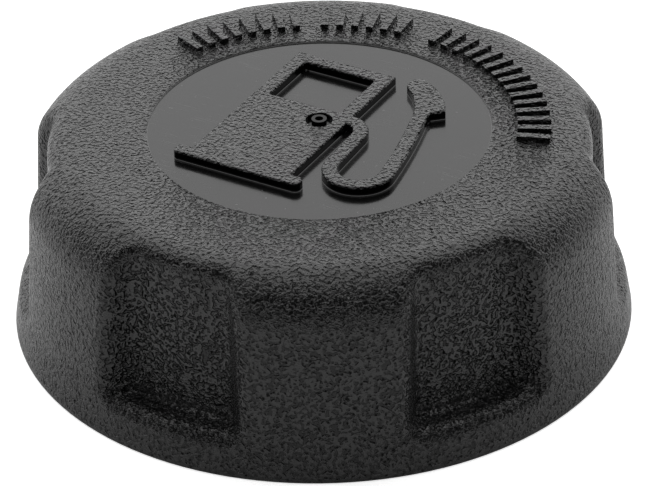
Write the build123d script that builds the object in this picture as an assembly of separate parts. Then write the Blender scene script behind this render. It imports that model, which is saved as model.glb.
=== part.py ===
from build123d import *

import os
from math import atan2, cos, degrees, radians, sin, tan

# Fuel filler cap: a moulded grip cap with its gasket, vent foam and baffle. Millimetres, +Z up.
# The origin is the centre of the rim's lower face, where the cap stands on a bench. The raised pump symbol reads
# upright along +Y.

# The filler neck sets the thread, and the rest of the cap is laid out from it
thread_radius = 23.0        # root of the neck thread
grip_reach = 7.0            # thread root to the rim's outer edge
rim_radius = thread_radius + grip_reach

# Grip cap, outside
height = 20.0               # rim's lower face to the grained top
lip_height = 4.0            # flared band round the rim
lip_flare = 10.0            # degrees off the axis
wall_draft = 4.1            # degrees off the axis, above the lip
lip_blend = 12.0            # radius where lip and wall meet
rim_edge = 0.15             # bevel on the rim's outer edge
shoulder_radius = 5.3       # wall into top

# Finger flutes
flute_count = 6
flute_depth = 3.8           # rim's outer edge to the floor of a flute, at the ledge
floor_radius = rim_radius - flute_depth
floor_draft = 1.2           # degrees off the axis
floor_half_angle = 11.3     # degrees, from a flute's middle to its corner
flute_lean = 42.5           # degrees between a flute's side wall and its middle
ledge_height = 4.15         # where the floor would meet the ledge without its round
ledge_slope = 6.0           # degrees below level, falling outwards
flute_corner = 1.6          # round where side wall and floor meet
flute_foot = 1.1            # round where the ledge meets floor and walls
flute_edge = 1.7            # round along the mouth of a flute

# Top
disc_inset = 6.6            # thread root to the edge of the smooth disc
disc_radius = thread_radius - disc_inset
disc_depth = 0.15
symbol_rise = 0.8           # above the grained top
symbol_edge = 0.2           # round on its upper edges
mark_rise = 0.5             # raised bars round the disc
mark_length = 3.2
mark_width = 0.7
mark_gap = 2.4              # disc to bars
mark_pitch = 4.5            # degrees between bars
mark_groups = ((8, 158.0), (6, 118.0), (15, 84.0))  # bars in a group, angle of its first bar

# Pump symbol, in its own axes, across and up, and drawn for a disc of this radius
symbol_circle = 16.4
pump_width = 10.7
pump_centre = -2.8
pump_top = 10.45
pump_frame = 1.5            # width of the frame round the window
window_height = 6.85
foot_top = -9.7
foot_height = 1.45
foot_overhang = 1.45        # past each side of the pump
foot_corner = 0.6
window_corner = 0.25
hose_width = 1.5
hose_height = 1.4           # middle of the hose where it leaves the pump
hose_bend = 2.05            # radius of the hose's middle line as it turns down
hose_drop = 5.4             # straight run beside the pump
hose_splay = 2.5            # degrees, away from the pump
hose_loop = 2.75            # radius of the loop at the bottom
hose_lean = 8.0             # degrees, the rising run leans back by this
hose_rise = 80.0            # radius of the rising run
hose_rise_turn = 8.0        # degrees
nozzle_length = 6.4         # end of the hose to the spout's tip
nozzle_tip = 1.0            # spout's tip, to the left of the hose's middle line
nozzle_mouth = 2.4          # spout's mouth, to the left
nozzle_mouth_height = 4.85
nozzle_heel = 2.2           # heel, to the right
nozzle_heel_height = 0.95
nozzle_step = 0.3           # height of the step under the heel
nozzle_back_bow = 0.62      # rise of each curved side over its chord
nozzle_tip_bow = 0.66
nozzle_front_bow = 0.42
gate_radius = 1.3           # recess left by the moulding gate
gate_depth = 0.45
gate_ring_outer = 0.73
gate_ring_inner = 0.40
gate_ring_rise = 0.15       # above the symbol

# Inside of the cap
skin = 2.0                  # wall of the skirt
ceiling_thickness = 2.2
thread_wall = 1.8
thread_top = 10.4           # upper end of the threaded wall
seat_step = 0.4             # thread root to the bore round the gasket
seat_radius = thread_radius - seat_step
ring_foot = 1.2             # the threaded ring stops above the rim by this
lead_in = 0.6
channel_depth = 2.2         # groove round the threaded ring
pocket_top = 13.0           # hollows behind the lands
rib_width = 1.2
gasket_width = 5.1
gasket_clearance = 0.2
spigot_outer = seat_radius - gasket_width - 2 * gasket_clearance
spigot_wall = 1.8
spigot_foot = 11.4
bead_rise = 0.5             # bead on the spigot that holds the gasket
bead_height = 0.7
groove_width = 1.2          # vent grooves
groove_depth = 0.5
groove_count = 2
standoff_height = 1.2       # ribs that keep the foam off the ceiling
standoff_width = 1.0

# Gasket, foam and baffle
gasket_thickness = 2.5
gasket_bevel = 0.6          # on both edges of its sealing face
foam_clearance = 0.1
baffle_clearance = 0.1
baffle_plate = 0.8
baffle_wall = 1.2
baffle_rise = 2.2           # plug above the plate
snap_rise = 0.25
snap_height = 0.4
snap_level = 1.0            # middle of the snap bead above the spigot's foot
drip_hole = 1.6             # diameter
drip_count = 8
drip_inset = 8.1            # spigot's outer face to the middles of the holes

ceiling = height - ceiling_thickness
gasket_face = ceiling - gasket_thickness


def turned(points):
    """Solid of revolution round Z of a closed outline given as (radius, height)."""
    return revolve(Plane.XZ * make_face(Polyline(*points, close=True)), Axis.Z)


def tube(outer, inner, bottom, top):
    """Plain ring round Z between two heights."""
    return turned([(inner, bottom), (outer, bottom), (outer, top), (inner, top)])


def disc(radius, bottom, top):
    """Plain disc round Z between two heights."""
    return Pos(0, 0, bottom) * extrude(Circle(radius), top - bottom)


def around(shape, count, start=0.0, pitch=None):
    """Copies of a shape turned round Z, evenly over a full turn unless a pitch in degrees is given."""
    step = 360 / count if pitch is None else pitch
    return [Rot(0, 0, start + i * step) * shape for i in range(count)]


def skirt_radius(level, inset=0.0):
    """Outer radius of the skirt at a height, before the rounds, less an inset."""
    lip_top = rim_radius - lip_height * tan(radians(lip_flare))
    if level <= lip_height:
        return rim_radius - level * tan(radians(lip_flare)) - inset
    return lip_top - (level - lip_height) * tan(radians(wall_draft)) - inset


def grip_blank():
    """Outer form before the flutes: flared lip, drafted wall and rounded shoulder, turned round Z."""
    lip = (skirt_radius(lip_height), lip_height)
    shoulder = (skirt_radius(height), height)
    outline = make_face(Polyline(
        (0, 0),
        (rim_radius - rim_edge, 0),
        (skirt_radius(rim_edge), rim_edge),
        lip,
        shoulder,
        (0, height),
        close=True,
    ))
    for corner, radius in ((lip, lip_blend), (shoulder, shoulder_radius)):
        nearest = outline.vertices().sort_by_distance((*corner, 0))[0]
        outline = fillet(nearest, radius)
    return revolve(Plane.XZ * outline, Axis.Z)


def flute_outline(margin=0.0):
    """Plan of a flute on +X: straight side walls that lean outwards, each moved out by a margin."""
    corner = Vector(floor_radius * cos(radians(floor_half_angle)), floor_radius * sin(radians(floor_half_angle)))
    lean = Vector(cos(radians(flute_lean)), sin(radians(flute_lean)))
    corner = corner + Vector(-lean.Y, lean.X) * margin
    inner = corner - lean * 2 * flute_corner
    outer = corner + lean * rim_radius / 3
    return make_face(Polyline(
        (inner.X, -inner.Y), (outer.X, -outer.Y), (outer.X, outer.Y), (inner.X, inner.Y), close=True
    ))


def flute_cutter():
    """One flute on +X: round drafted floor, leaning side walls, a ledge that falls outwards, corners rounded."""
    top = height + 1
    reach = rim_radius + 2
    ring = turned([
        (floor_radius, ledge_height),
        (floor_radius - (top - ledge_height) * tan(radians(floor_draft)), top),
        (reach, top),
        (reach, ledge_height - (reach - floor_radius) * tan(radians(ledge_slope))),
    ])
    cutter = ring & extrude(flute_outline(), top)
    uprights = cutter.edges().filter_by(lambda e: (e @ 0).Z != (e @ 1).Z and (e @ 0.5).X < floor_radius and
                                        (e @ 0.5).Z > ledge_height)
    cutter = fillet(uprights, flute_corner)
    ledge = cutter.faces().filter_by(lambda f: f.normal_at().Z < -0.5)
    foot = ledge.edges().filter_by(lambda e: (e @ 0.5).X < floor_radius + flute_corner * 2)
    return fillet(foot, flute_foot)


def fluted_grip():
    """Outer form with its flutes, the mouth of each flute rounded where it meets wall, shoulder and lip."""
    blank = grip_blank()
    flutes = around(flute_cutter(), flute_count, start=90)
    grip = blank - flutes
    return fillet(new_edges(blank, *flutes, combined=grip), flute_edge)


def hose_line():
    """Middle line of the hose: level out of the pump, down beside it, round a loop and up again."""
    start = (pump_centre + pump_width / 2, hose_height)
    bend = JernArc(start, (1, 0), hose_bend, hose_splay - 90)
    drop = Line(bend @ 1, bend @ 1 + (bend % 1) * hose_drop)
    loop = JernArc(drop @ 1, drop % 1, hose_loop, 180 - hose_splay + hose_lean)
    rise = JernArc(loop @ 1, loop % 1, hose_rise, hose_rise_turn)
    return bend + drop + loop + rise, rise


def nozzle(rise):
    """Plan of the nozzle on the hose's end: a spout that curves to one side, and a heel on the other."""
    half = hose_width / 2
    foot_left = Vector(-half, -half / 2)
    foot_right = Vector(half, -half / 2)
    step = Vector(half * 1.2, nozzle_step)
    heel = Vector(nozzle_heel, nozzle_heel_height)
    tip = Vector(-nozzle_tip, nozzle_length)
    mouth = Vector(-nozzle_mouth, nozzle_mouth_height)
    outline = [
        Line(foot_left, foot_right),
        Line(foot_right, step),
        Line(step, heel),
        SagittaArc(heel, tip, -nozzle_back_bow),
        SagittaArc(tip, mouth, -nozzle_tip_bow),
        SagittaArc(mouth, foot_left, nozzle_front_bow),
    ]
    heading = rise % 1
    turn = degrees(atan2(heading.Y, heading.X)) - 90
    return Pos(*(rise @ 1)) * Rot(0, 0, turn) * make_face(outline)


def symbol_plan():
    """Plan of the pump symbol: pump with its window, foot, hose and nozzle."""
    foot_middle = foot_top - foot_height / 2
    pump = Pos(pump_centre, (pump_top + foot_middle) / 2) * Rectangle(pump_width, pump_top - foot_middle)
    foot = Pos(pump_centre, foot_middle) * RectangleRounded(
        pump_width + 2 * foot_overhang, foot_height, foot_corner
    )
    window = Pos(pump_centre, pump_top - pump_frame - window_height / 2) * RectangleRounded(
        pump_width - 2 * pump_frame, window_height, window_corner
    )
    line, rise = hose_line()
    return pump + foot + trace(line, hose_width) + nozzle(rise) - window


def symbol():
    """Raised pump symbol with softened edges, and the ring that the moulding gate leaves in its recess."""
    base = height - disc_depth
    top = height + symbol_rise
    raised = Pos(0, 0, base) * extrude(scale(symbol_plan(), disc_radius / symbol_circle), top - base)
    raised = fillet(raised.faces().sort_by(Axis.Z)[-1].edges(), symbol_edge)
    raised = raised - disc(gate_radius, top - gate_depth, top + 1)
    return raised + tube(gate_ring_outer, gate_ring_inner, top - gate_depth, top + gate_ring_rise)


def marks():
    """Groups of plain raised bars on an arc between the disc and the shoulder."""
    bar = Pos(disc_radius + mark_gap + mark_length / 2, 0, height - disc_depth) * Box(
        mark_length, mark_width, disc_depth + mark_rise, align=(Align.CENTER, Align.CENTER, Align.MIN)
    )
    return [mark for count, first in mark_groups for mark in around(bar, count, first, -mark_pitch)]


def hollow():
    """Space inside the skirt down to the ceiling, with the threaded ring's foot and the groove round it."""
    ring_outer = thread_radius + thread_wall
    return turned([
        (0, -1),
        (rim_radius - skin, -1),
        (skirt_radius(0, skin), 0),
        (skirt_radius(channel_depth, skin), channel_depth),
        (ring_outer, channel_depth),
        (ring_outer, ring_foot),
        (thread_radius + lead_in, ring_foot),
        (thread_radius, ring_foot + lead_in),
        (thread_radius, thread_top),
        (seat_radius, thread_top + thread_radius - seat_radius),
        (seat_radius, ceiling),
        (0, ceiling),
    ])


def pockets():
    """Hollows behind the lands, between the threaded ring and the skirt, halved by ribs."""
    ring_outer = thread_radius + thread_wall
    space = turned([
        (ring_outer, 0),
        (skirt_radius(0, skin), 0),
        (skirt_radius(lip_height, skin), lip_height),
        (skirt_radius(pocket_top, skin), pocket_top),
        (ring_outer, pocket_top),
    ])
    walls = around(extrude(flute_outline(skin), height), flute_count, 90)
    rib = Pos(rim_radius / 2, 0, height / 2) * Box(rim_radius, rib_width, height)
    return space - walls - around(rib, flute_count, 90 + 180 / flute_count)


def spigot():
    """Wall round the vent chamber, with the bead that holds the gasket and the groove for the baffle's snap."""
    inner = spigot_outer - spigot_wall
    bead_top = gasket_face - gasket_clearance
    snap = spigot_foot + snap_level
    wall = tube(spigot_outer, inner, spigot_foot, ceiling + groove_depth)
    bead = turned([
        (spigot_outer - bead_rise, bead_top),
        (spigot_outer + bead_rise, bead_top),
        (spigot_outer + bead_rise, bead_top - bead_height / 2),
        (spigot_outer, bead_top - bead_height),
        (spigot_outer - bead_rise, bead_top - bead_height),
    ])
    groove = tube(inner + snap_rise + baffle_clearance, inner - 1, snap - snap_height, snap + snap_height)
    return wall + bead - groove


def vent_grooves():
    """Air ways in the ceiling, over the spigot and the gasket, and down the bore to the thread."""
    inner = spigot_outer - spigot_wall - groove_width
    reach = seat_radius + groove_depth
    over = Pos((inner + reach) / 2, 0, ceiling) * Box(
        reach - inner, groove_width, groove_depth, align=(Align.CENTER, Align.CENTER, Align.MIN)
    )
    down = Pos(reach, 0, thread_top) * Box(
        2 * groove_depth, groove_width, ceiling - thread_top, align=(Align.MAX, Align.CENTER, Align.MIN)
    )
    return around(over + down, groove_count, 90)


def standoffs():
    """Crossed ribs on the ceiling that keep the foam clear of it."""
    length = 2 * (spigot_outer - spigot_wall / 2 - groove_width - groove_depth)
    rib = Pos(0, 0, ceiling) * Box(
        length, standoff_width, standoff_height, align=(Align.CENTER, Align.CENTER, Align.MAX)
    )
    return around(rib, 2, 45, 90)


def cap_body():
    """The whole grip cap, one moulding."""
    cap = fluted_grip() - disc(disc_radius, height - disc_depth, height + 1)
    cap = cap + symbol() + marks()
    cap = cap - hollow() - pockets()
    cap = cap + spigot() + standoffs()
    return cap - vent_grooves()


def seal_gasket():
    """Rubber ring round the spigot, against the ceiling, with both edges of its sealing face bevelled."""
    outer = seat_radius - gasket_clearance
    inner = spigot_outer + gasket_clearance
    return turned([
        (inner, ceiling),
        (inner, gasket_face + gasket_bevel),
        (inner + gasket_bevel, gasket_face),
        (outer - gasket_bevel, gasket_face),
        (outer, gasket_face + gasket_bevel),
        (outer, ceiling),
    ])


def vent_foam():
    """Foam disc between the ceiling's ribs and the baffle."""
    radius = spigot_outer - spigot_wall - foam_clearance
    return disc(radius, spigot_foot + baffle_rise, ceiling - standoff_height)


def vent_baffle():
    """Plate under the spigot with drip holes, and a ring that snaps into the spigot."""
    outer = spigot_outer - spigot_wall - baffle_clearance
    snap = spigot_foot + snap_level
    plate = disc(spigot_outer, spigot_foot - baffle_plate, spigot_foot)
    ring = tube(outer, outer - baffle_wall, spigot_foot, spigot_foot + baffle_rise)
    bead = turned([
        (outer - baffle_wall / 2, snap - snap_height / 2),
        (outer, snap - snap_height / 2),
        (outer + snap_rise, snap),
        (outer, snap + snap_height / 2),
        (outer - baffle_wall / 2, snap + snap_height / 2),
    ])
    hole = Pos(spigot_outer - drip_inset, 0) * disc(drip_hole / 2, 0, height)
    return plate + ring + bead - around(hole, drip_count)


os.makedirs("parts", exist_ok=True)
for piece in (cap_body, seal_gasket, vent_foam, vent_baffle):
    export_step(piece(), f"parts/{piece.__name__}.step")
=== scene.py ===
"""Fuel filler cap: finishes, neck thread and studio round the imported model. Metres, +Z up."""
from math import cos, pi, radians, sin

import bmesh
import bpy
import numpy as np
from bpy.props import FloatProperty, FloatVectorProperty
from mathutils import Matrix, Vector


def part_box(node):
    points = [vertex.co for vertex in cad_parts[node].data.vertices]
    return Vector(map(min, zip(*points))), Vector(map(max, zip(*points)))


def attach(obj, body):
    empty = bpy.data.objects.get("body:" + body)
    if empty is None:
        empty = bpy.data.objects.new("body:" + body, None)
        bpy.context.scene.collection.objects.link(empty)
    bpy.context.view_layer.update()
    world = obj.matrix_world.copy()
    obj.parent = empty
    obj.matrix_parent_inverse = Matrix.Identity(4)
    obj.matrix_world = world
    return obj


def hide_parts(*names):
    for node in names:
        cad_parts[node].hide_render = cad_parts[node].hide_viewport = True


bl_info = {
    "name": "Fuel filler cap",
    "version": (1, 0, 0),
    "blender": (4, 5, 0),
    "location": "3D View > Sidebar > Filler Cap",
    "description": "Finishes of the moulded filler cap, its neck thread, gasket, vent and studio",
    "category": "Object",
}

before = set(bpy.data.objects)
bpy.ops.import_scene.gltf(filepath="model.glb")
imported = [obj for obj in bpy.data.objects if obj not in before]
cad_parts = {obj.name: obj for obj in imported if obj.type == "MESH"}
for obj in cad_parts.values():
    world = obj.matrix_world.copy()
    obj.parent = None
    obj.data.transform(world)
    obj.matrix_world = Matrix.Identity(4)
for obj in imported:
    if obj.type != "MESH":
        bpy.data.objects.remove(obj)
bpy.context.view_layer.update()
MM = 0.001
IMAGE_WIDTH = 648               # pixels
SENSOR_WIDTH = 36.0             # millimetres, as the lens is

# Places on the moulding where its finish changes
DISC_RADIUS = 16.4 * MM
DISC_LEVEL = 19.85 * MM
SYMBOL_LEVEL = 20.8 * MM
SYMBOL_ROUND = 0.2 * MM
GATE_RADIUS = 1.3 * MM
CEILING = 17.8 * MM
FOOT_ROUND = 0.22 * MM          # small round where the symbol stands on the disc
RIM_ROUND = 0.5 * MM            # the rim's lowest edge rolls under over this height
OUTSIDE_RADIUS = 25.2 * MM      # the threaded ring lies inside it, the flute floors outside

# Material slots of the three plastics on the moulding
GRAINED, SATIN, PLAIN = range(3)

PLASTIC_IOR = 1.5
DUST_AND_HIGHLIGHT_TONE = 9.0                 # brightness that a speck of dust, or the painted highlight ring at the disc's edge, adds, in multiples of the plastic's own
CREASE = radians(32)            # faces that turn less than this are shaded as one round


class FillerCapSizes(bpy.types.PropertyGroup):
    """Sizes of the grain, the neck thread and the camera's place."""

    grain_pitch: FloatProperty(
        name="Grain pitch", description="Distance between the worms of the moulded grain",
        default=0.36 * MM, unit="LENGTH", precision=5,
    )
    grain_depth: FloatProperty(
        name="Grain depth", description="Scale of the moulded grain's height",
        default=0.22 * MM, unit="LENGTH", precision=5,
    )
    thread_radius: FloatProperty(
        name="Thread root", description="Radius of the wall that carries the neck thread",
        default=23.0 * MM, unit="LENGTH",
    )
    thread_rise: FloatProperty(
        name="Thread height", description="How far the thread stands in from its wall",
        default=1.1 * MM, unit="LENGTH",
    )
    thread_pitch: FloatProperty(
        name="Thread pitch", description="Climb of the thread in one turn",
        default=6.0 * MM, unit="LENGTH",
    )
    thread_start: FloatProperty(
        name="Thread start", description="Height where the thread begins",
        default=3.0 * MM, unit="LENGTH",
    )
    thread_turns: FloatProperty(name="Thread turns", description="Turns of the thread", default=1.1)
    camera_azimuth: FloatProperty(
        name="Camera azimuth", description="Turn of the camera round the cap from its front",
        default=radians(30.39), subtype="ANGLE",
    )
    camera_elevation: FloatProperty(
        name="Camera elevation", description="Angle of the camera above the horizon",
        default=radians(32.28), subtype="ANGLE",
    )
    camera_distance: FloatProperty(
        name="Camera distance", description="From the camera to the middle of the cap",
        default=380.0 * MM, unit="LENGTH",
    )
    camera_roll: FloatProperty(
        name="Camera roll", description="Turn of the camera about its own axis",
        default=radians(1.43), subtype="ANGLE",
    )
    camera_lens: FloatProperty(name="Lens", description="Focal length in millimetres", default=219.4)


class FillerCapColours(bpy.types.PropertyGroup):
    """Colours of the materials, as linear values."""

    plastic: FloatVectorProperty(
        name="Plastic", description="Black of the moulded cap",
        default=(0.006, 0.006, 0.006), subtype="COLOR",
    )
    rubber: FloatVectorProperty(
        name="Rubber", description="Black of the gasket",
        default=(0.018, 0.018, 0.019), subtype="COLOR",
    )
    foam: FloatVectorProperty(
        name="Foam", description="Dark grey of the vent foam",
        default=(0.06, 0.06, 0.065), subtype="COLOR",
    )
    floor: FloatVectorProperty(
        name="Floor", description="Pale floor", default=(0.72, 0.72, 0.72), subtype="COLOR",
    )


def sizes():
    return bpy.context.scene.filler_cap_sizes


def colours():
    return bpy.context.scene.filler_cap_colours


# Node helpers

def new_node(tree, kind, **values):
    """Adds a node; keywords set its properties, and a dictionary in inputs sets or links its sockets."""
    node = tree.nodes.new(kind)
    for name, value in values.items():
        if name != "inputs":
            setattr(node, name, value)
    for name, value in values.get("inputs", {}).items():
        if isinstance(value, bpy.types.NodeSocket):
            tree.links.new(value, node.inputs[name])
        else:
            node.inputs[name].default_value = value
    return node


def maths(tree, operation, first, second=0.0, third=0.0):
    """One arithmetic step on two or three values or sockets."""
    return new_node(
        tree, "ShaderNodeMath", operation=operation, inputs={0: first, 1: second, 2: third}
    ).outputs[0]


def step_between(tree, value, low, high, out_low=0.0, out_high=1.0):
    """Smooth step of a value from one limit to the other."""
    return new_node(
        tree, "ShaderNodeMapRange", interpolation_type="SMOOTHSTEP",
        inputs={"Value": value, "From Min": low, "From Max": high, "To Min": out_low, "To Max": out_high},
    ).outputs["Result"]


def noise(tree, place, period, detail=0.0, roughness=0.5, distortion=0.0):
    """Noise whose lumps are about one period apart."""
    return new_node(
        tree, "ShaderNodeTexNoise",
        inputs={"Vector": place, "Scale": 1.0 / period, "Detail": detail, "Roughness": roughness,
                "Distortion": distortion},
    )


def new_material(name):
    """An empty node material with its output and its main shader."""
    material = bpy.data.materials.new(name)
    material.use_nodes = True
    tree = material.node_tree
    tree.nodes.clear()
    shader = tree.nodes.new("ShaderNodeBsdfPrincipled")
    output = tree.nodes.new("ShaderNodeOutputMaterial")
    tree.links.new(shader.outputs["BSDF"], output.inputs["Surface"])
    return material, tree, shader


def object_place(tree):
    return tree.nodes.new("ShaderNodeTexCoord").outputs["Object"]


def from_axis(tree, place):
    """Distance from the cap's axis."""
    flat = new_node(tree, "ShaderNodeVectorMath", operation="MULTIPLY", inputs={0: place, 1: (1, 1, 0)})
    return new_node(
        tree, "ShaderNodeVectorMath", operation="LENGTH", inputs={0: flat.outputs["Vector"]}
    ).outputs["Value"]


def tint(tree, colour, factor):
    """A colour whose brightness follows a factor socket."""
    return new_node(
        tree, "ShaderNodeVectorMath", operation="SCALE", inputs={"Vector": colour, "Scale": factor}
    ).outputs["Vector"]


def leather_grain(tree, place, pitch):
    """Height of a moulded leather grain, and a painted shade factor for its low ground.

    The height, from 0 to 1.55, has nearly flat lands with steep rounded sides between them, and a short pit
    in nearly every land. The painted shade factor is about 1 on the lands and 0.2 in the lowest ground, which
    it darkens as painted shade where the bump casts no shadow.
    """
    warp = noise(tree, place, pitch * 1.5).outputs["Color"]
    bent = new_node(
        tree, "ShaderNodeVectorMath", operation="MULTIPLY_ADD",
        inputs={0: warp, 1: (pitch * 0.7,) * 3, 2: place},
    ).outputs["Vector"]
    wave = noise(tree, bent, pitch).outputs["Fac"]
    lands = step_between(tree, wave, 0.33, 0.55)
    spots = new_node(
        tree, "ShaderNodeTexVoronoi", inputs={"Vector": bent, "Scale": 1.0 / (pitch * 1.5)}
    ).outputs["Distance"]
    rims = step_between(tree, spots, 0.08, 0.30)
    height = maths(tree, "ADD", maths(tree, "MULTIPLY", lands, 0.75), maths(tree, "MULTIPLY", rims, 0.8))
    # The second value is painted shade: full on the lands, darker in the low ground.
    return height, step_between(tree, height, 0.3, 1.3, 0.2, 1.05)


def grained_plastic():
    """Black polypropylene with the moulded leather grain, its low ground darkened by painted shade, and a
    rolled rim.
    """
    material, tree, shader = new_material("grained_plastic")
    place = object_place(tree)
    pitch, depth = sizes().grain_pitch, sizes().grain_depth
    lands, painted_pit_shade = leather_grain(tree, place, pitch)
    fine = noise(tree, place, pitch * 0.45).outputs["Fac"]
    height = maths(tree, "ADD", lands, maths(tree, "MULTIPLY", fine, 0.3))
    level = new_node(tree, "ShaderNodeSeparateXYZ", inputs={"Vector": place}).outputs["Z"]
    above = new_node(
        tree, "ShaderNodeMapRange", inputs={"Value": level, "From Min": 0.0, "From Max": RIM_ROUND}
    ).outputs["Result"]
    under = maths(tree, "SUBTRACT", 1.0, above)
    round_edge = maths(tree, "MULTIPLY", maths(tree, "MULTIPLY", under, under), -0.4 * RIM_ROUND / depth)
    height = maths(tree, "ADD", maths(tree, "MULTIPLY", height, above), round_edge)
    border = step_between(
        tree, from_axis(tree, place), DISC_RADIUS, DISC_RADIUS + 0.25 * MM, 0.0, 0.07 * MM / depth
    )
    height = maths(tree, "ADD", height, border)
    bump = new_node(
        tree, "ShaderNodeBump", inputs={"Strength": 1.0, "Distance": depth, "Height": height}
    )
    patches = noise(tree, place, 9.0 * MM, detail=2.0).outputs["Fac"]
    # Base tone: random patches, times the painted shade of the grain's low ground.
    tone = maths(tree, "MULTIPLY", step_between(tree, patches, 0.3, 0.7, 0.9, 1.2), painted_pit_shade)
    specks = step_between(tree, noise(tree, place, 0.35 * MM, detail=1.0).outputs["Fac"], 0.76, 0.81)
    tone = maths(tree, "ADD", tone, maths(tree, "MULTIPLY", specks, DUST_AND_HIGHLIGHT_TONE))
    tree.links.new(tint(tree, tuple(colours().plastic), tone), shader.inputs["Base Color"])
    tree.links.new(step_between(tree, patches, 0.3, 0.7, 0.22, 0.26), shader.inputs["Roughness"])
    # The painted shade of the low ground dims the gloss there too.
    tree.links.new(maths(tree, "MULTIPLY", painted_pit_shade, 0.5), shader.inputs["Specular IOR Level"])
    shader.inputs["IOR"].default_value = PLASTIC_IOR
    tree.links.new(bump.outputs["Normal"], shader.inputs["Normal"])
    return material


def scratches(tree, place, turn):
    """Sparse thin straight scratches, about 0.1 mm wide and a few millimetres long, along one direction."""
    turned = new_node(
        tree, "ShaderNodeMapping", vector_type="POINT",
        inputs={
            "Vector": place,
            "Rotation": (0, 0, turn),
            "Scale": (1.0 / (4.0 * MM), 1.0 / (0.12 * MM), 0.0),
        },
    ).outputs["Vector"]
    return step_between(tree, noise(tree, turned, 1.0).outputs["Fac"], 0.72, 0.78)


def satin_plastic():
    """Black polypropylene from a polished mould face, with fine scratches and a little dust.

    A small round joins the symbol's walls to the disc. The walls are darkened as painted shade, and a thin
    line in the disc's outer corner is lightened as a painted highlight.
    """
    material, tree, shader = new_material("satin_plastic")
    place = object_place(tree)
    ripple = noise(tree, place, 3.0 * MM, detail=3.0).outputs["Fac"]
    bump = new_node(tree, "ShaderNodeBump", inputs={"Strength": 0.2, "Distance": 0.01 * MM, "Height": ripple})
    level = new_node(tree, "ShaderNodeSeparateXYZ", inputs={"Vector": place}).outputs["Z"]
    above = new_node(
        tree, "ShaderNodeMapRange",
        inputs={
            "Value": level,
            "From Min": DISC_LEVEL, "From Max": DISC_LEVEL + FOOT_ROUND,
            "To Min": 1.0, "To Max": 0.0,
        },
    ).outputs["Result"]
    foot = new_node(
        tree, "ShaderNodeBump",
        inputs={
            "Strength": 1.0,
            "Distance": 0.95 * FOOT_ROUND,
            "Height": maths(tree, "MULTIPLY", above, above),
            "Normal": bump.outputs["Normal"],
        },
    )
    wall = step_between(tree, above, 0.2, 0.9, 1.0, 0.0)
    dust = step_between(tree, noise(tree, place, 0.4 * MM, detail=1.0).outputs["Fac"], 0.74, 0.80)
    worn = maths(tree, "MAXIMUM", scratches(tree, place, radians(-35)), scratches(tree, place, radians(20)))
    patches = step_between(tree, noise(tree, place, 7.0 * MM, detail=2.0).outputs["Fac"], 0.42, 0.62)
    worn = maths(tree, "MULTIPLY", worn, patches)
    # A thin pale ring just inside the disc's edge: a painted highlight standing for the light lip along that
    # edge.
    corner = step_between(
        tree, from_axis(tree, place), DISC_RADIUS - 0.14 * MM, DISC_RADIUS - 0.02 * MM, 0.0, 1.3
    )
    # Real dust and scratches, plus the painted highlight ring at the disc's edge.
    dust_wear_and_highlight = maths(tree, "ADD", maths(tree, "MAXIMUM", dust, maths(tree, "MULTIPLY", worn, 0.5)), corner)
    # The symbol's walls are darkened as painted shade.
    wall_shaded_tone = maths(tree, "MULTIPLY_ADD", wall, -0.35, third=0.6)
    tone = maths(tree, "ADD", maths(tree, "MULTIPLY", dust_wear_and_highlight, DUST_AND_HIGHLIGHT_TONE), wall_shaded_tone)
    tree.links.new(tint(tree, tuple(colours().plastic), tone), shader.inputs["Base Color"])
    sheen = step_between(tree, ripple, 0.2, 0.8, 0.13, 0.19)
    tree.links.new(maths(tree, "ADD", sheen, maths(tree, "MULTIPLY", worn, 0.15)), shader.inputs["Roughness"])
    shader.inputs["IOR"].default_value = PLASTIC_IOR
    # Painted shade on the walls dims their gloss as well.
    tree.links.new(maths(tree, "MULTIPLY_ADD", wall, -0.28, third=0.5), shader.inputs["Specular IOR Level"])
    tree.links.new(foot.outputs["Normal"], shader.inputs["Normal"])
    return material


def moulded_plastic():
    """Plain moulded black plastic of the hidden side, with faint flow marks."""
    material, tree, shader = new_material("moulded_plastic")
    place = object_place(tree)
    flow = noise(tree, place, 2.5 * MM, detail=4.0, distortion=1.5).outputs["Fac"]
    bump = new_node(tree, "ShaderNodeBump", inputs={"Strength": 0.3, "Distance": 0.02 * MM, "Height": flow})
    tone = step_between(tree, flow, 0.3, 0.7, 0.9, 1.2)
    tree.links.new(tint(tree, tuple(colours().plastic), tone), shader.inputs["Base Color"])
    tree.links.new(step_between(tree, flow, 0.3, 0.7, 0.34, 0.46), shader.inputs["Roughness"])
    tree.links.new(bump.outputs["Normal"], shader.inputs["Normal"])
    return material


def gasket_rubber():
    """Dull black nitrile rubber with a fine pebble and a trace of talc."""
    material, tree, shader = new_material("gasket_rubber")
    place = object_place(tree)
    pebble = noise(tree, place, 0.25 * MM, detail=2.0).outputs["Fac"]
    talc = step_between(tree, noise(tree, place, 5.0 * MM, detail=4.0).outputs["Fac"], 0.5, 0.75)
    bump = new_node(tree, "ShaderNodeBump", inputs={"Strength": 0.5, "Distance": 0.02 * MM, "Height": pebble})
    tone = maths(tree, "ADD", 1.0, maths(tree, "MULTIPLY", talc, 1.2))
    tree.links.new(tint(tree, tuple(colours().rubber), tone), shader.inputs["Base Color"])
    tree.links.new(step_between(tree, talc, 0.0, 1.0, 0.62, 0.8), shader.inputs["Roughness"])
    tree.links.new(bump.outputs["Normal"], shader.inputs["Normal"])
    return material


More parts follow.
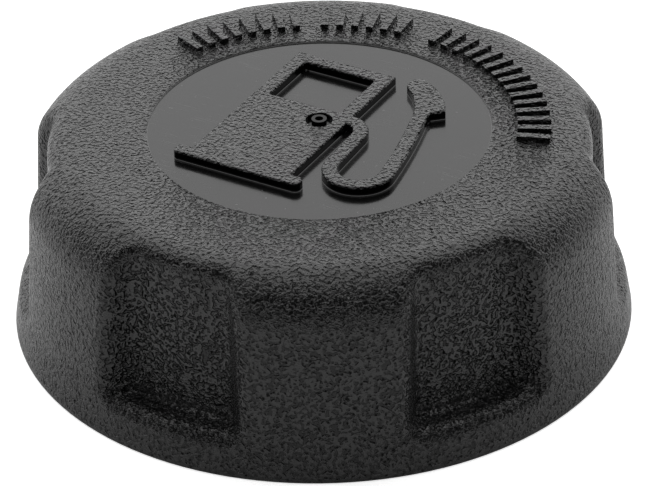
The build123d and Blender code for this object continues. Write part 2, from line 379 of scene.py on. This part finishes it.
def filter_foam():
    """Open-cell foam: pale webs round pores that are darkened as painted shade."""
    material, tree, shader = new_material("filter_foam")
    place = object_place(tree)
    cells = new_node(
        tree, "ShaderNodeTexVoronoi", feature="DISTANCE_TO_EDGE",
        inputs={"Vector": place, "Scale": 1.0 / (0.5 * MM)},
    ).outputs["Distance"]
    web = step_between(tree, cells, 0.04, 0.22, 1.0, 0.0)
    bump = new_node(tree, "ShaderNodeBump", inputs={"Strength": 1.0, "Distance": 0.2 * MM, "Height": web})
    # The pores are darkened as painted shade; the webs stay pale.
    tone = step_between(tree, web, 0.0, 1.0, 0.25, 1.4)
    tree.links.new(tint(tree, tuple(colours().foam), tone), shader.inputs["Base Color"])
    shader.inputs["Roughness"].default_value = 0.9
    tree.links.new(bump.outputs["Normal"], shader.inputs["Normal"])
    return material


# Pieces

def new_object(name, data):
    """An object in the scene that holds a mesh, a lamp or a camera."""
    piece = bpy.data.objects.new(name, data)
    bpy.context.scene.collection.objects.link(piece)
    return piece


def face_places(mesh):
    """Centres and normals of all the faces, as arrays."""
    count = len(mesh.polygons)
    centres = np.empty(count * 3)
    normals = np.empty(count * 3)
    mesh.polygons.foreach_get("center", centres)
    mesh.polygons.foreach_get("normal", normals)
    return centres.reshape(-1, 3), normals.reshape(-1, 3)


def crease_normals(mesh, crease):
    """A normal for each corner of a mesh, as an array.

    It is the unit sum of the normals of the faces round the corner's point that turn less than the crease
    from the corner's own face, each weighted by the area of the whole plane it lies in. A flat face then
    stays flat up to its edges, and a round starts from it without a step.
    """
    faces, corners = len(mesh.polygons), len(mesh.loops)
    normal, area = np.empty(faces * 3), np.empty(faces)
    starts, sides, point = (np.empty(count, dtype=np.int64) for count in (faces, faces, corners))
    mesh.polygons.foreach_get("normal", normal)
    mesh.polygons.foreach_get("area", area)
    mesh.polygons.foreach_get("loop_start", starts)
    mesh.polygons.foreach_get("loop_total", sides)
    mesh.loops.foreach_get("vertex_index", point)
    normal = normal.reshape(-1, 3)
    face = np.repeat(np.arange(faces), sides)
    centre, _ = face_places(mesh)
    offset = (normal * centre).sum(1)
    plane = np.round(np.column_stack([normal * 500, offset / (0.01 * MM)])).astype(np.int64)
    _, group = np.unique(plane, axis=0, return_inverse=True)
    weight = np.bincount(group.ravel(), weights=area)[group.ravel()]
    order = np.argsort(point, kind="stable")
    count = np.bincount(point)
    first = np.concatenate([[0], np.cumsum(count)[:-1]])
    around = count[point]
    this = np.repeat(np.arange(corners), around)
    step = np.arange(len(this)) - np.repeat(np.cumsum(around) - around, around)
    other = face[order[first[point][this] + step]]
    near = (normal[face[this]] * normal[other]).sum(1) > cos(crease)
    share = normal[other] * (weight[other] * near)[:, None]
    total = np.column_stack(
        [np.bincount(this, weights=share[:, axis], minlength=corners) for axis in range(3)]
    )
    return total / np.maximum(np.linalg.norm(total, axis=1), 1e-12)[:, None]


def merged_copy(source, name):
    """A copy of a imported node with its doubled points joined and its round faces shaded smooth."""
    mesh = source.data.copy()
    piece = new_object(name, mesh)
    solid = bmesh.new()
    solid.from_mesh(mesh)
    bmesh.ops.remove_doubles(solid, verts=solid.verts, dist=1e-7)
    solid.to_mesh(mesh)
    solid.free()
    mesh.shade_smooth()
    mesh.normals_split_custom_set(crease_normals(mesh, CREASE).tolist())
    return piece


def turned_points(radius, angle, level):
    """Points from their distance from the axis, their angle round it and their level, as one array."""
    return np.stack(
        [radius * np.cos(angle), radius * np.sin(angle), np.broadcast_to(level, radius.shape)], -1
    )


def thread_ridge():
    """Neck thread: a rounded trapezoid carried along a helix inside the threaded wall.

    With u along the thread and v round its section, the point is at radius root - rise * h(v), at angle
    2 pi turns u, and at height start + pitch * turns * u + w(v). The section's points give h, as a share of
    the rise, and w, in millimetres. The rise fades to nothing over the run-out, a share of the length, at
    both ends.
    """
    size = sizes()
    along = np.linspace(0.0, 1.0, 260)[:, None]
    flank = np.array([(-0.30, -1.5), (0.0, -1.3), (0.55, -0.75), (0.88, -0.52), (1.0, -0.3),
                      (1.0, 0.3), (0.88, 0.52), (0.55, 0.75), (0.0, 1.3), (-0.30, 1.5)])
    run_out = 0.04
    fade = np.sin(np.clip(np.minimum(along, 1 - along) / run_out, 0.0, 1.0) * pi / 2)
    rise = flank[None, :, 0] * size.thread_rise
    rise = np.where(rise > 0, rise * fade, rise)
    angle = 2 * pi * size.thread_turns * along
    radius = size.thread_radius - rise
    level = size.thread_start + size.thread_pitch * size.thread_turns * along + flank[None, :, 1] * MM
    return turned_points(radius, angle, level)


def grid_mesh(name, points):
    """A mesh over a grid of points, with its section closed, both ends capped and doubled points joined."""
    rows, columns = points.shape[:2]
    index = np.arange(rows * columns).reshape(rows, columns)
    nxt = np.roll(index, -1, axis=1)
    quads = np.stack([index[:-1], nxt[:-1], nxt[1:], index[1:]], -1).reshape(-1, 4)
    faces = quads.tolist() + [index[0].tolist(), index[-1][::-1].tolist()]
    mesh = bpy.data.meshes.new(name)
    mesh.from_pydata(points.reshape(-1, 3).tolist(), [], faces)
    solid = bmesh.new()
    solid.from_mesh(mesh)
    bmesh.ops.remove_doubles(solid, verts=solid.verts, dist=1e-6)
    bmesh.ops.recalc_face_normals(solid, faces=solid.faces)
    solid.to_mesh(mesh)
    solid.free()
    return new_object(name, mesh)


def foam_disc(low, high):
    """Vent foam between two corners of its space: a soft-edged disc turned about the axis.

    With t from -90 to 90 degrees down the section and v round the axis, the radius is
    R cos(t)^0.28 (1 - 0.004 (1 + sin(7v + 3t))) and the level is
    middle - sign(t) |sin t|^0.28 (half height - s), where the sag s grows with the radius to
    0.12 mm (0.5 + 0.25 sin 3v + 0.25 sin(5v + 1.3)).
    """
    full, half = (high[0] - low[0]) / 2, (high[2] - low[2]) / 2
    down = np.linspace(-pi / 2, pi / 2, 48)[:, None]
    turn = np.linspace(0, 2 * pi, 144, endpoint=False)[None, :]
    power = 0.28
    radius = full * np.cos(down) ** power * (1 - 0.004 * (1 + np.sin(7 * turn + 3 * down)))
    sag = 0.12 * MM * (0.5 + 0.25 * np.sin(3 * turn) + 0.25 * np.sin(5 * turn + 1.3))
    side = -np.sign(down) * np.abs(np.sin(down)) ** power
    level = (high[2] + low[2]) / 2 + side * (half - sag * np.clip(radius / full, 0, 1))
    return turned_points(radius, turn, level)


class FILLERCAP_OT_foam(bpy.types.Operator):
    """Make the soft vent foam"""

    bl_idname = "fillercap.foam"
    bl_label = "Vent foam"

    def execute(self, context):
        foam = grid_mesh("soft_vent_foam", foam_disc(*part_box("vent_foam")))
        foam.data.shade_smooth()
        foam.data.materials.append(filter_foam())
        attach(foam, "root")
        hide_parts("vent_foam")
        return {"FINISHED"}


class FILLERCAP_OT_shell(bpy.types.Operator):
    """Make the moulded cap with its grained outside, its satin disc and its plain inside"""

    bl_idname = "fillercap.shell"
    bl_label = "Moulded cap"

    def execute(self, context):
        shell = merged_copy(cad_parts["cap_body"], "cap_shell")
        mesh = shell.data
        mesh.materials.clear()
        for material in (grained_plastic(), satin_plastic(), moulded_plastic()):
            mesh.materials.append(material)
        centre, normal = face_places(mesh)
        radius = np.hypot(centre[:, 0], centre[:, 1])
        outward = (normal[:, :2] * centre[:, :2]).sum(1) / np.maximum(radius, 1e-9)
        outside = (radius > OUTSIDE_RADIUS) & (outward > 0.02)
        top = (centre[:, 2] > CEILING + 0.6 * MM) & (normal[:, 2] > -0.5)
        over_disc = top & (radius < DISC_RADIUS + 0.02 * MM)
        raised = centre[:, 2] > SYMBOL_LEVEL - SYMBOL_ROUND - 0.01 * MM
        symbol_face = over_disc & raised & (radius > GATE_RADIUS)
        plastic = np.full(len(radius), PLAIN, dtype=np.int32)
        plastic[outside | top] = GRAINED
        plastic[over_disc & ~symbol_face] = SATIN
        mesh.polygons.foreach_set("material_index", plastic)
        mesh.update()
        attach(shell, "root")
        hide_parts("cap_body")
        return {"FINISHED"}


class FILLERCAP_OT_thread(bpy.types.Operator):
    """Make the neck thread inside the cap"""

    bl_idname = "fillercap.thread"
    bl_label = "Neck thread"

    def execute(self, context):
        ridge = grid_mesh("neck_thread_ridge", thread_ridge())
        ridge.data.shade_smooth()
        ridge.data.set_sharp_from_angle(angle=radians(50))
        ridge.data.materials.append(bpy.data.materials["moulded_plastic"])
        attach(ridge, "root")
        return {"FINISHED"}


class FILLERCAP_OT_inner_pieces(bpy.types.Operator):
    """Finish the gasket and the baffle"""

    bl_idname = "fillercap.inner_pieces"
    bl_label = "Gasket and baffle"

    def execute(self, context):
        finishes = {"seal_gasket": gasket_rubber(), "vent_baffle": bpy.data.materials["moulded_plastic"]}
        for node, material in finishes.items():
            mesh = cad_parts[node].data
            mesh.materials.clear()
            mesh.materials.append(material)
        return {"FINISHED"}


def studio_world():
    """World: white to the camera, and another light to the cap.

    The cap sees a bright backdrop behind it and overhead, a dark room in front of it and at its sides, and a
    glow near the horizon and below it. How far a direction points away from the camera decides between
    backdrop and room: it grows with the height and falls to the sides.
    """
    world = bpy.data.worlds.new("studio")
    world.use_nodes = True
    tree = world.node_tree
    tree.nodes.clear()
    place = tree.nodes.new("ShaderNodeTexCoord").outputs["Generated"]
    azimuth = sizes().camera_azimuth
    front, side, level = (
        new_node(
            tree, "ShaderNodeVectorMath", operation="DOT_PRODUCT", inputs={0: place, 1: axis}
        ).outputs["Value"]
        for axis in ((sin(azimuth), -cos(azimuth), 0.0), (cos(azimuth), sin(azimuth), 0.0), (0.0, 0.0, 1.0))
    )
    away = maths(tree, "SUBTRACT", maths(tree, "MULTIPLY", level, 0.45), front)
    away = maths(tree, "SUBTRACT", away, maths(tree, "MULTIPLY", maths(tree, "ABSOLUTE", side), 0.62))
    dark_room, backdrop, floor_glow = 0.01, 1.7, 0.5
    room = step_between(tree, away, -0.16, 0.24, dark_room, backdrop)
    glow = step_between(tree, level, 0.1, 0.38, floor_glow, 0.0)
    strength = maths(tree, "MAXIMUM", room, glow)
    seen = new_node(tree, "ShaderNodeBackground", inputs={"Color": (1, 1, 1, 1), "Strength": 1.0})
    light = new_node(tree, "ShaderNodeBackground", inputs={"Color": (1, 1, 1, 1), "Strength": strength})
    rays = tree.nodes.new("ShaderNodeLightPath")
    direct = maths(tree, "MAXIMUM", rays.outputs["Is Camera Ray"], rays.outputs["Is Transmission Ray"])
    mixed = new_node(
        tree, "ShaderNodeMixShader", inputs={0: direct, 1: light.outputs[0], 2: seen.outputs[0]}
    )
    output = tree.nodes.new("ShaderNodeOutputWorld")
    tree.links.new(mixed.outputs[0], output.inputs["Surface"])
    bpy.context.scene.world = world


def studio_floor():
    """A wide round floor, pale to the camera and dim in the cap's gloss, with the shadow under the cap."""
    mesh = bpy.data.meshes.new("floor")
    disc = bmesh.new()
    bmesh.ops.create_circle(disc, cap_ends=True, segments=96, radius=3.0)
    disc.to_mesh(mesh)
    disc.free()
    floor = new_object("floor", mesh)
    material, tree, shader = new_material("pale_floor")
    shader.inputs["Base Color"].default_value = (*colours().floor, 1.0)
    shader.inputs["Roughness"].default_value = 0.9
    shader.inputs["Specular IOR Level"].default_value = 0.0
    rays = tree.nodes.new("ShaderNodeLightPath").outputs
    shader.inputs["Emission Color"].default_value = (1, 1, 1, 1)
    glow_seen, glow_mirrored = 0.72, 0.16
    direct = maths(tree, "MULTIPLY", rays["Is Camera Ray"], glow_seen)
    mirrored = maths(tree, "MULTIPLY", rays["Is Glossy Ray"], glow_mirrored)
    tree.links.new(maths(tree, "ADD", direct, mirrored), shader.inputs["Emission Strength"])
    mesh.materials.append(material)


def direction(azimuth, elevation):
    """Unit vector from the cap, by its turn round the cap from the front and its angle above the horizon."""
    return Vector((sin(azimuth) * cos(elevation), -cos(azimuth) * cos(elevation), sin(elevation)))


def softbox(name, azimuth, elevation, distance, size, power):
    """A square area lamp that faces the cap from a given direction, and isn't mirrored in it."""
    lamp = bpy.data.lights.new(name, "AREA")
    lamp.shape = "SQUARE"
    lamp.size = size
    lamp.energy = power
    place = new_object(name, lamp)
    outward = direction(azimuth, elevation)
    place.location = outward * distance
    place.rotation_mode = "QUATERNION"
    place.rotation_quaternion = outward.to_track_quat("Z", "Y")
    place.visible_glossy = False


def studio_camera():
    """The camera, placed by its direction, distance and roll, and aimed a little below the cap's middle."""
    size = sizes()
    target = Vector((0, 0, 10.0 * MM))
    target_left, target_above = 2.5, 26.9       # pixels from the picture's middle to the target
    focal = size.camera_lens * IMAGE_WIDTH / SENSOR_WIDTH
    back = direction(size.camera_azimuth, size.camera_elevation)
    right = Vector((cos(size.camera_azimuth), sin(size.camera_azimuth), 0))
    up = back.cross(right)
    turned_right = right * cos(size.camera_roll) - up * sin(size.camera_roll)
    turned_up = up * cos(size.camera_roll) + right * sin(size.camera_roll)
    heading = (-back * focal + turned_right * target_left - turned_up * target_above).normalized()
    x_axis = heading.cross(turned_up).normalized()
    y_axis = x_axis.cross(heading)
    camera = bpy.data.cameras.new("camera")
    camera.lens = size.camera_lens
    camera.sensor_width = SENSOR_WIDTH
    camera.clip_start, camera.clip_end = 0.01, 20.0
    place = new_object("camera", camera)
    turn = Matrix((x_axis, y_axis, -heading)).transposed().to_4x4()
    place.matrix_world = Matrix.Translation(target + back * size.camera_distance) @ turn
    bpy.context.scene.camera = place


class FILLERCAP_OT_studio(bpy.types.Operator):
    """Make the world, the floor, the soft lamp and the camera"""

    bl_idname = "fillercap.studio"
    bl_label = "Studio"

    def execute(self, context):
        context.scene.view_settings.view_transform = "Standard"
        studio_world()
        studio_floor()
        behind = sizes().camera_azimuth + pi
        softbox("back_softbox", behind, radians(70), distance=1.0, size=0.9, power=2.5)
        studio_camera()
        return {"FINISHED"}


class FILLERCAP_PT_panel(bpy.types.Panel):
    """Buttons for every piece of the filler cap"""

    bl_idname = "FILLERCAP_PT_panel"
    bl_label = "Filler cap"
    bl_space_type = "VIEW_3D"
    bl_region_type = "UI"
    bl_category = "Filler Cap"

    def draw(self, context):
        for group in (context.scene.filler_cap_sizes, context.scene.filler_cap_colours):
            column = self.layout.column()
            for name in group.__annotations__:
                column.prop(group, name)
        for operator in OPERATORS:
            self.layout.operator(operator.bl_idname)


OPERATORS = (
    FILLERCAP_OT_shell,
    FILLERCAP_OT_thread,
    FILLERCAP_OT_foam,
    FILLERCAP_OT_inner_pieces,
    FILLERCAP_OT_studio,
)
CLASSES = (FillerCapSizes, FillerCapColours, *OPERATORS, FILLERCAP_PT_panel)


def register():
    for item in CLASSES:
        bpy.utils.register_class(item)
    bpy.types.Scene.filler_cap_sizes = bpy.props.PointerProperty(type=FillerCapSizes)
    bpy.types.Scene.filler_cap_colours = bpy.props.PointerProperty(type=FillerCapColours)


def unregister():
    del bpy.types.Scene.filler_cap_colours
    del bpy.types.Scene.filler_cap_sizes
    for item in reversed(CLASSES):
        bpy.utils.unregister_class(item)


def main():
    register()
    bpy.ops.fillercap.shell()
    bpy.ops.fillercap.thread()
    bpy.ops.fillercap.foam()
    bpy.ops.fillercap.inner_pieces()
    bpy.ops.fillercap.studio()


if __name__ == "__main__":
    main()
